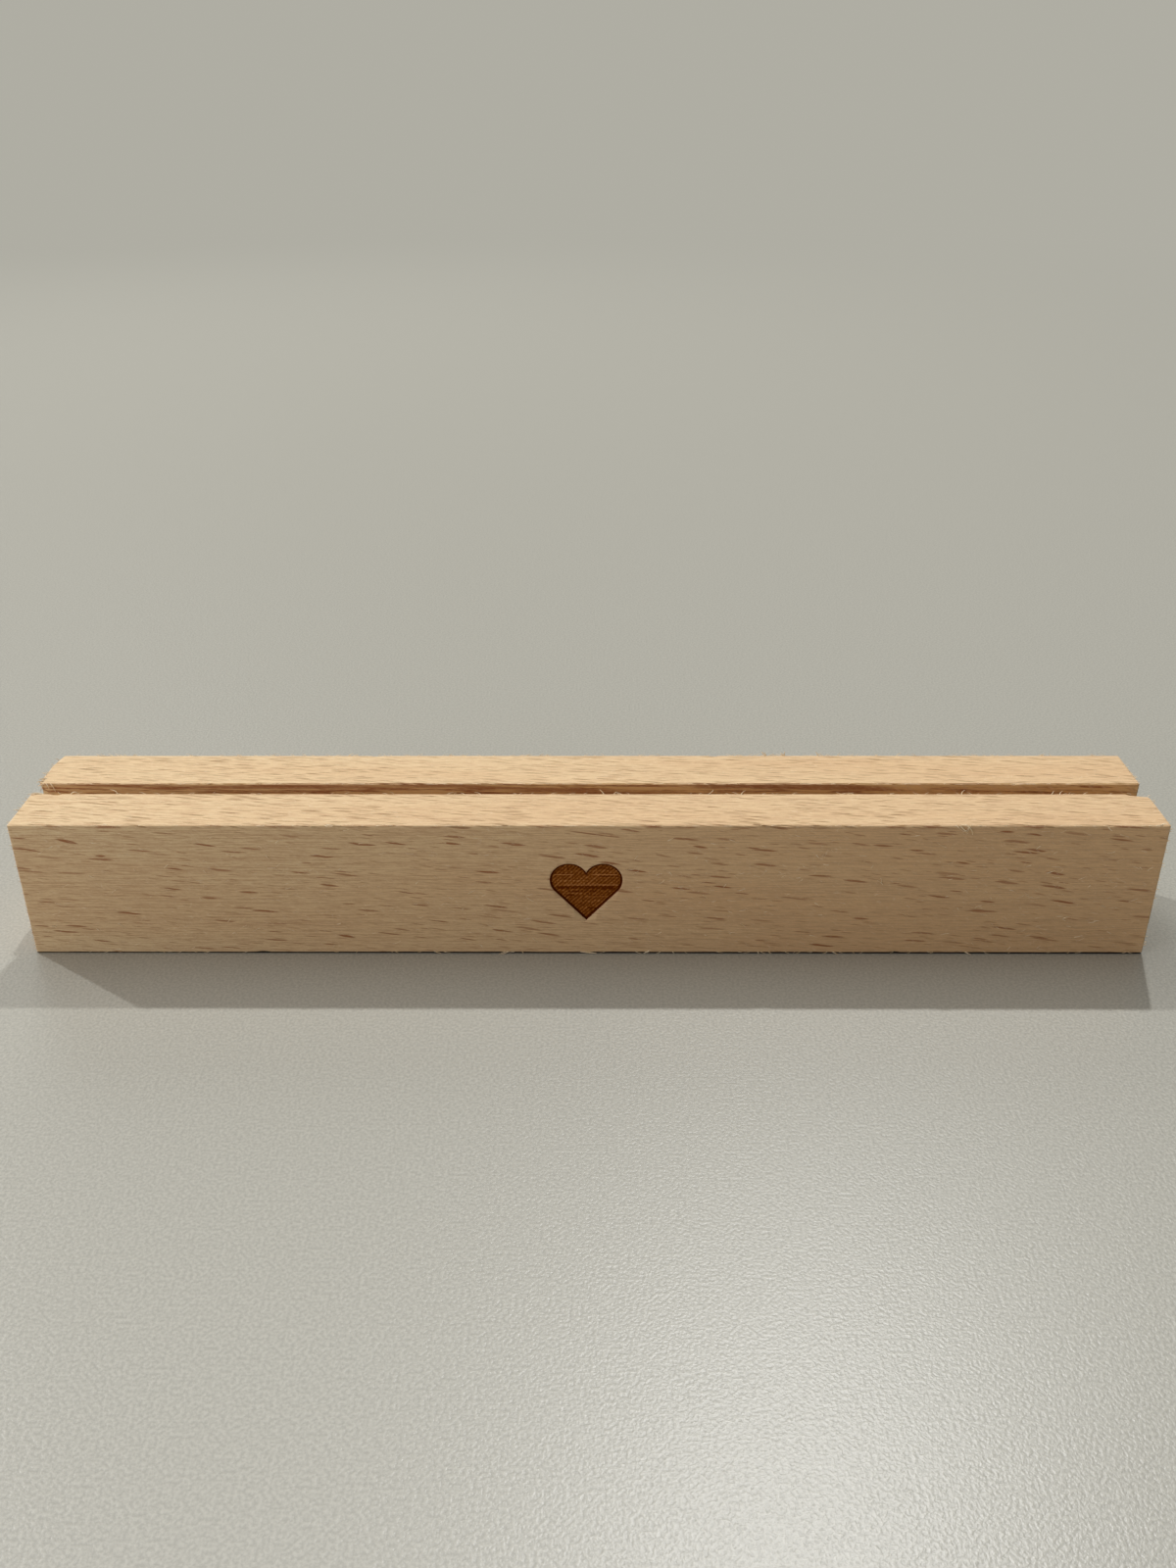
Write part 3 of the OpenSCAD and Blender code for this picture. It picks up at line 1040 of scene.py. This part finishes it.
# The fibres that show in the photograph: root, tip and bend in millimetres, and how many times
# the plain thickness each is. Tips above the top are kept lower than they look.
NOTED_FIBRES = (
    # Along the back edge of the top
    ((25.1, 9.9, 19.95), (24.5, 10.1, 20.52), (-0.1, 0, 0.20), 1.7),
    ((25.2, 9.9, 19.95), (24.9, 10.0, 20.54), (0.1, 0, 0.05), 1.5),
    ((27.7, 9.9, 19.95), (27.8, 10.1, 20.54), (0.15, 0, 0.10), 1.8),
    ((27.8, 9.9, 19.95), (27.2, 10.1, 20.30), (-0.1, 0, 0.20), 1.5),
    ((32.5, 9.9, 19.95), (32.2, 10.1, 20.50), (0.15, 0, 0.10), 1.6),
    ((32.4, 9.9, 19.95), (33.0, 10.1, 20.25), (0.0, 0, 0.15), 1.3),
    ((35.3, 9.9, 19.95), (35.7, 10.1, 20.28), (0.0, 0, 0.10), 1.3),
    ((43.6, 9.9, 19.95), (44.3, 10.1, 20.30), (0.0, 0, 0.15), 1.4),
    ((-34.0, 9.9, 19.95), (-33.2, 10.1, 20.25), (0.0, 0, 0.15), 1.3),
    # Along the front edge of the slot
    ((-69.6, -1.5, 19.95), (-68.5, -1.45, 19.97), (0.0, 0.1, 0.60), 1.5),
    ((-63.3, -1.5, 19.95), (-64.3, -1.2, 20.50), (0.5, 0, 0.25), 1.3),
    ((2.2, -1.5, 19.93), (1.6, -1.2, 20.52), (0.1, 0, 0.05), 1.7),
    ((3.5, -1.5, 19.95), (3.9, -1.3, 20.25), (0.0, 0, 0.05), 1.5),
    ((16.0, -1.7, 19.95), (16.9, -1.1, 20.40), (0.2, 0, -0.05), 1.8),
    ((20.6, -1.6, 19.95), (21.2, -1.2, 20.35), (-0.1, 0, 0.20), 1.5),
    ((50.1, -1.6, 19.95), (50.6, -1.1, 20.40), (-0.2, 0, 0.15), 1.6),
    ((62.1, -1.6, 19.95), (62.5, -1.2, 20.30), (0.1, 0, 0.15), 1.4),
    ((63.2, -1.6, 19.95), (63.7, -1.2, 20.35), (-0.1, 0, 0.15), 1.4),
    # Along the lower front edge
    ((-20.9, -9.9, 0.35), (-19.9, -10.1, 0.06), (0.0, -0.1, 0.0), 1.8),
    ((-10.7, -9.9, 0.30), (-11.7, -10.28, 0.06), (0.0, -0.12, -0.05), 2.0),
    ((-11.0, -9.9, 0.30), (-12.0, -10.25, 0.06), (0.1, 0.0, 0.10), 1.5),
    ((-8.9, -9.9, 0.35), (-8.7, -10.1, 0.06), (0.0, -0.1, 0.0), 1.6),
    ((-1.0, -9.9, 0.30), (1.2, -10.1, 0.12), (0.0, -0.1, -0.05), 2.4),
    ((8.6, -9.9, 0.60), (7.6, -10.1, 0.08), (-0.1, -0.1, -0.05), 2.2),
    ((11.5, -9.9, 0.35), (11.7, -10.1, 0.06), (0.0, -0.1, 0.0), 1.6),
    ((23.0, -9.9, 0.35), (23.2, -10.1, 0.06), (0.0, -0.1, 0.0), 1.8),
    ((24.5, -9.9, 0.35), (24.8, -10.1, 0.06), (0.0, -0.1, 0.0), 1.6),
    ((33.1, -9.9, 0.30), (33.9, -10.28, 0.06), (0.0, -0.05, 0.0), 1.6),
    ((51.0, -9.9, 0.30), (51.8, -10.28, 0.06), (0.0, -0.05, 0.0), 1.7),
    # On the front face, close to its upper edge and near its middle
    ((47.4, -9.92, 20.0), (48.3, -10.22, 19.35), (0.15, -0.10, -0.20), 1.5),
    ((47.9, -9.92, 20.0), (49.0, -10.25, 18.95), (-0.10, -0.10, 0.10), 1.8),
    ((48.7, -9.92, 20.0), (49.6, -10.27, 18.80), (0.40, -0.10, 0.30), 1.9),
    ((48.1, -9.92, 20.0), (49.4, -10.15, 19.80), (0.00, -0.10, 0.45), 1.5),
    ((49.1, -9.92, 19.7), (48.3, -10.20, 19.20), (0.10, -0.10, -0.20), 1.6),
    ((48.2, -9.92, 19.8), (48.9, -10.25, 19.35), (-0.15, -0.10, -0.25), 2.0),
    ((49.0, -9.92, 19.9), (48.8, -10.25, 19.20), (0.30, -0.10, -0.10), 1.4),
    ((66.9, -9.95, 19.9), (67.4, -10.25, 19.4), (-0.2, -0.05, 0.0), 1.6),
    ((38.1, -9.97, 11.7), (38.9, -10.15, 11.1), (0.0, -0.03, 0.15), 1.3),
    ((38.5, -9.97, 12.1), (38.6, -10.12, 11.3), (0.2, -0.03, 0.0), 1.1),
    ((-33.8, -9.95, 19.95), (-32.8, -10.15, 19.95), (0.0, -0.05, -0.25), 1.6),
    ((-33.6, -9.95, 20.0), (-32.7, -10.12, 20.0), (0.0, -0.05, 0.20), 1.4),
    ((73.6, -9.9, 19.95), (74.2, -10.15, 20.4), (-0.1, -0.05, 0.2), 1.8),
    ((73.9, -9.9, 19.95), (73.3, -10.2, 20.2), (0.1, -0.05, 0.2), 1.5),
    # Round the left end of the slot
    ((-73.4, 1.45, 20.0), (-72.8, 1.15, 18.9), (0.15, -0.10, 0.20), 2.0),
    ((-74.0, 1.45, 20.0), (-73.6, 1.15, 19.3), (0.15, -0.10, 0.10), 1.5),
    ((-74.4, 3.0, 19.95), (-75.3, 2.3, 20.15), (0.0, -0.1, 0.15), 2.4),
    ((-74.5, 2.3, 19.95), (-75.3, 1.6, 20.10), (0.0, -0.1, 0.15), 2.4),
    ((-74.3, 1.6, 19.90), (-75.1, 1.3, 19.70), (0.0, -0.1, 0.05), 2.0),
    ((-74.5, 1.5, 19.80), (-74.9, 1.2, 18.90), (0.0, -0.1, 0.05), 1.5),
    ((-73.3, -1.5, 19.95), (-74.7, -1.6, 20.20), (0.0, 0.1, 0.15), 1.9),
    ((-73.9, -1.5, 19.95), (-75.2, -1.9, 20.15), (0.0, 0.1, 0.15), 1.7),
    # Over the left end
    ((-74.8, 4.2, 19.9), (-75.4, 4.0, 20.3), (0.0, 0, 0.15), 1.5),
    ((-74.8, -6.0, 19.9), (-75.5, -6.2, 20.2), (0.0, 0, 0.15), 1.6),
)


class CARDHOLDER_OT_fibres(bpy.types.Operator):
    """Make the fibres that stand off the edges, the ends and the faces of the bar"""

    bl_idname = "card_holder.make_fibres"
    bl_label = "Raised fibres"

    def execute(self, context):
        bar, fibres, look = settings().bar, settings().fibres, settings().wood
        material, rod = raised_fibre(look), plain_fibre()
        for name, maker in (
                ("edge_fibres", self.along_edges), ("end_fibres", self.round_ends),
                ("face_fibres", self.on_faces)):
            bm = bmesh.new()
            maker(bm, rod, bar, fibres, random.Random(name))
            piece = keep_mesh(bm, name, [material])
            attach(piece, "root")
        bpy.data.meshes.remove(rod)
        return {"FINISHED"}

    def along_edges(self, bm, rod, bar, fibres, dice):
        """The noted fibres, and small ones at random along the long edges."""
        for root, tip, bend, stout in NOTED_FIBRES:
            add_fibre(
                bm, rod, Vector(root) * MM, Vector(tip) * MM, Vector(bend) * MM,
                fibres.thickness * stout)
        half, top, slot = bar.width / 2, bar.height, bar.slot_width / 2
        edges = (
            ((-half, top), (-0.6, 0.8)), ((half, top), (0.6, 0.8)), ((half, top), (0.5, 0.9)),
            ((-slot, top), (0.5, 0.9)), ((slot, top), (-0.5, 0.9)),
            ((-half, GAP_HEIGHT), (-0.5, -0.9)), ((half, 0), (1.0, 0.1)))
        for _ in range(fibres.edge_count):
            (y, z), (out_y, out_z) = dice.choice(edges)
            x = dice.uniform(-0.49, 0.49) * bar.length
            long = dice.uniform(0.25, 0.9) * MM
            lift = dice.uniform(0.10, 0.30) * MM
            lean = dice.choice((-1, 1))
            root = Vector((x, y - 0.08 * MM * out_y, z - 0.08 * MM * out_z))
            root.z = max(root.z, 0.06 * MM)
            tip = root + Vector((lean * long, out_y * lift, out_z * lift))
            tip.z = max(tip.z, 0.04 * MM)
            bend = Vector((0, out_y * 0.4 * lift, out_z * dice.uniform(0.1, 0.7) * lift))
            add_fibre(bm, rod, root, tip, bend, fibres.thickness * dice.uniform(0.5, 1.0))

    def round_ends(self, bm, rod, bar, fibres, dice):
        """Short fibres that the saw left standing round the edges of both ends."""
        half_l, half_w, top = bar.length / 2, bar.width / 2, bar.height
        for _ in range(fibres.end_count):
            side = dice.choice((-1, 1))
            share = dice.uniform(0.02, 0.98)
            y, z, out_y, out_z = dice.choice((
                (-half_w, share * top, -1, 0), (half_w, share * top, 1, 0),
                ((share - 0.5) * bar.width, top, 0, 1), ((share - 0.5) * bar.width, 0.0, 0, 0)))
            if z >= top and abs(y) < bar.slot_width / 2:
                continue
            long = dice.uniform(0.08, 0.35) * MM
            root = Vector((side * (half_l - 0.12 * MM), y - out_y * 0.1 * MM, z - out_z * 0.1 * MM))
            root.z = max(root.z, 0.08 * MM)
            tip = root + Vector((
                side * (0.1 * MM + long), (out_y + dice.uniform(-1, 1)) * 0.15 * MM,
                (out_z + dice.uniform(-0.3, 1)) * 0.15 * MM))
            bend = Vector((0, out_y * 0.08 * MM, out_z * 0.08 * MM))
            add_fibre(bm, rod, root, tip, bend, fibres.thickness * dice.uniform(0.6, 1.2))

    def on_faces(self, bm, rod, bar, fibres, dice):
        """Short fibres that lie on the front and the back, almost along the grain."""
        half, top = bar.width / 2, bar.height
        heart = settings().heart
        for _ in range(fibres.face_count):
            face = dice.choice(("front", "front", "back"))
            x = dice.uniform(-0.49, 0.49) * bar.length
            share = dice.uniform(0.03, 0.97)
            run = Vector((dice.choice((-1, 1)), 0, 0)) * dice.uniform(0.3, 1.2) * MM
            sway = dice.uniform(-0.6, 0.6) * MM
            lift = dice.uniform(0.03, 0.18) * MM
            sign = -1 if face == "front" else 1
            if face == "front" and abs(x - heart.middle_x) < heart.width / 2 + 1.2 * MM:
                continue
            root, out = Vector((x, sign * (half - 0.03 * MM), share * top)), Vector((0, sign, 0))
            across = Vector((0, 0, sway))
            tip = root + run + across + out * lift
            tip.z = max(tip.z, 0.05 * MM)
            add_fibre(
                bm, rod, root, tip,
                out * dice.uniform(0.03, 0.08) * MM + across * dice.uniform(-0.6, 0.6),
                fibres.thickness * dice.uniform(0.6, 1.4))


# Stage

# The camera of the photograph: its place, its turn to the side, its dip and its roll
CAMERA_PLACE = (0.001403, -0.159588, 0.105952)
CAMERA_YAW, CAMERA_DIP, CAMERA_ROLL = (
    math.radians(-0.4828), math.radians(28.103), math.radians(-0.2225))
CAMERA_LENS_MM, CAMERA_FILM_MM = 30.77, 36.0
# Ways from the bar to the two lamps behind it, from the slant of the two shadows
KEY_LEFT, KEY_RIGHT = Vector((-17.8, 12.3, 20.0)), Vector((3.1, 12.2, 20.0))
KEY_ANGLE = math.radians(1.2)
WHITE, FILL_TINT, ROOM_TINT = (1.0, 1.0, 1.0), (1.0, 0.945, 0.98), (1.0, 0.91, 0.79, 1.0)
# The floor is flat out to its radius, then curves up and ends in a wall that leans back
FLOOR_RADIUS, FLOOR_COVE, COVE_TURN = 1.3, 0.5, math.radians(75)
WALL_LEAN, WALL_HEIGHT = 0.1, 0.4


class CARDHOLDER_OT_stage(bpy.types.Operator):
    """Make the floor, the lights and the camera"""

    bl_idname = "card_holder.make_stage"
    bl_label = "Stage"

    def execute(self, context):
        stage = settings().stage
        self.make_floor(stage)
        self.make_lights(stage)
        self.make_camera()
        context.scene.view_settings.view_transform = "Standard"
        return {"FINISHED"}

    def make_floor(self, stage):
        """A plain round floor whose rim curves up into a plain wall."""
        bm = bmesh.new()
        middle = bm.verts.new((0, 0, 0))
        rim = bmesh.ops.extrude_vert_indiv(bm, verts=[middle])["verts"][0]
        rim.co = (FLOOR_RADIUS, 0, 0)
        cove = bmesh.ops.spin(
            bm, geom=[rim], cent=(FLOOR_RADIUS, 0, FLOOR_COVE), axis=(0, -1, 0),
            angle=COVE_TURN, steps=16)
        last = next(item for item in cove["geom_last"] if isinstance(item, bmesh.types.BMVert))
        wall = bmesh.ops.extrude_vert_indiv(bm, verts=[last])["verts"][0]
        wall.co = last.co + Vector((WALL_LEAN, 0, WALL_HEIGHT))
        bmesh.ops.spin(
            bm, geom=bm.verts[:] + bm.edges[:], cent=(0, 0, 0), axis=(0, 0, 1),
            angle=2 * math.pi, steps=96, use_merge=True)
        bmesh.ops.remove_doubles(bm, verts=bm.verts[:], dist=0.01 * MM)
        bmesh.ops.recalc_face_normals(bm, faces=bm.faces[:])
        floor = keep_mesh(bm, "floor", [plain_floor(stage, settings().bar)])
        if floor.data.polygons[0].normal.z < 0:
            floor.data.flip_normals()

    def make_lights(self, stage):
        """Two small lamps behind the bar, and soft ones above it, low behind it and at its left
        front."""
        for name, way in (("key_left", KEY_LEFT), ("key_right", KEY_RIGHT)):
            lamp = self.add_lamp(name, "SUN", way.normalized() * 2)
            lamp.data.energy, lamp.data.angle = stage.key, KEY_ANGLE
        for name, place, size, power, tint in (
                ("softbox", (-0.2, 0.20, 1.30), 1.2, stage.softbox, WHITE),
                ("back_light", (-0.5, 1.00, 0.60), 0.5, stage.back, WHITE),
                ("fill", (-0.34, -0.26, 0.15), 0.2, stage.fill, FILL_TINT)):
            lamp = self.add_lamp(name, "AREA", Vector(place))
            lamp.data.shape, lamp.data.size = "DISK", size
            lamp.data.energy, lamp.data.color = power, tint
            lamp.visible_camera = False
            # The two low lamps would show in the sheen of the floor
            lamp.visible_glossy = name == "softbox"
        world = bpy.data.worlds.new("studio")
        world.use_nodes = True
        background = world.node_tree.nodes["Background"]
        background.inputs["Color"].default_value = ROOM_TINT
        background.inputs["Strength"].default_value = stage.sky
        bpy.context.scene.world = world

    @staticmethod
    def add_lamp(name, kind, place):
        """A lamp that looks at the bar."""
        lamp = bpy.data.objects.new(name, bpy.data.lights.new(name, kind))
        lamp.location = place
        lamp.rotation_euler = (-place).to_track_quat("-Z", "Y").to_euler()
        bpy.context.scene.collection.objects.link(lamp)
        return lamp

    @staticmethod
    def make_camera():
        """The camera where the photograph was taken from."""
        ahead = Vector((
            math.sin(CAMERA_YAW) * math.cos(CAMERA_DIP),
            math.cos(CAMERA_YAW) * math.cos(CAMERA_DIP), -math.sin(CAMERA_DIP)))
        level = Vector((math.cos(CAMERA_YAW), -math.sin(CAMERA_YAW), 0))
        upright = level.cross(ahead)
        right = level * math.cos(CAMERA_ROLL) + upright * math.sin(CAMERA_ROLL)
        up = upright * math.cos(CAMERA_ROLL) - level * math.sin(CAMERA_ROLL)
        camera = bpy.data.objects.new("camera", bpy.data.cameras.new("camera"))
        camera.data.lens, camera.data.sensor_width = CAMERA_LENS_MM, CAMERA_FILM_MM
        camera.data.clip_start, camera.data.clip_end = 0.01, 20.0
        turn = Matrix((right, up, -ahead)).transposed().to_4x4()
        camera.matrix_world = Matrix.Translation(CAMERA_PLACE) @ turn
        bpy.context.scene.collection.objects.link(camera)
        bpy.context.scene.camera = camera


class CARDHOLDER_PT_panel(bpy.types.Panel):
    """The card holder's steps in the sidebar"""

    bl_idname = "CARDHOLDER_PT_panel"
    bl_label = "Place card holder"
    bl_space_type = "VIEW_3D"
    bl_region_type = "UI"
    bl_category = "Card holder"

    def draw(self, context):
        for step in STEPS:
            self.layout.operator(step.bl_idname)
        for name in ("bar", "heart", "wood", "fibres", "stage"):
            group = getattr(context.scene.card_holder, name)
            box = self.layout.box()
            box.label(text=name.capitalize())
            for key in group.__annotations__:
                box.prop(group, key)


STEPS = (CARDHOLDER_OT_stage, CARDHOLDER_OT_bar, CARDHOLDER_OT_heart, CARDHOLDER_OT_fibres)
CLASSES = (
    CARDHOLDER_PG_bar, CARDHOLDER_PG_heart, CARDHOLDER_PG_wood, CARDHOLDER_PG_fibres,
    CARDHOLDER_PG_stage, CARDHOLDER_PG_settings, *STEPS, CARDHOLDER_PT_panel)


def register():
    """Adds the classes and the settings."""
    for item in CLASSES:
        bpy.utils.register_class(item)
    bpy.types.Scene.card_holder = PointerProperty(type=CARDHOLDER_PG_settings)


def unregister():
    """Takes the settings and the classes away again."""
    del bpy.types.Scene.card_holder
    for item in reversed(CLASSES):
        bpy.utils.unregister_class(item)


def main():
    """Makes everything."""
    register()
    bpy.ops.card_holder.make_stage()
    bpy.ops.card_holder.make_bar()
    bpy.ops.card_holder.make_heart()
    bpy.ops.card_holder.make_fibres()


if __name__ == "__main__":
    main()
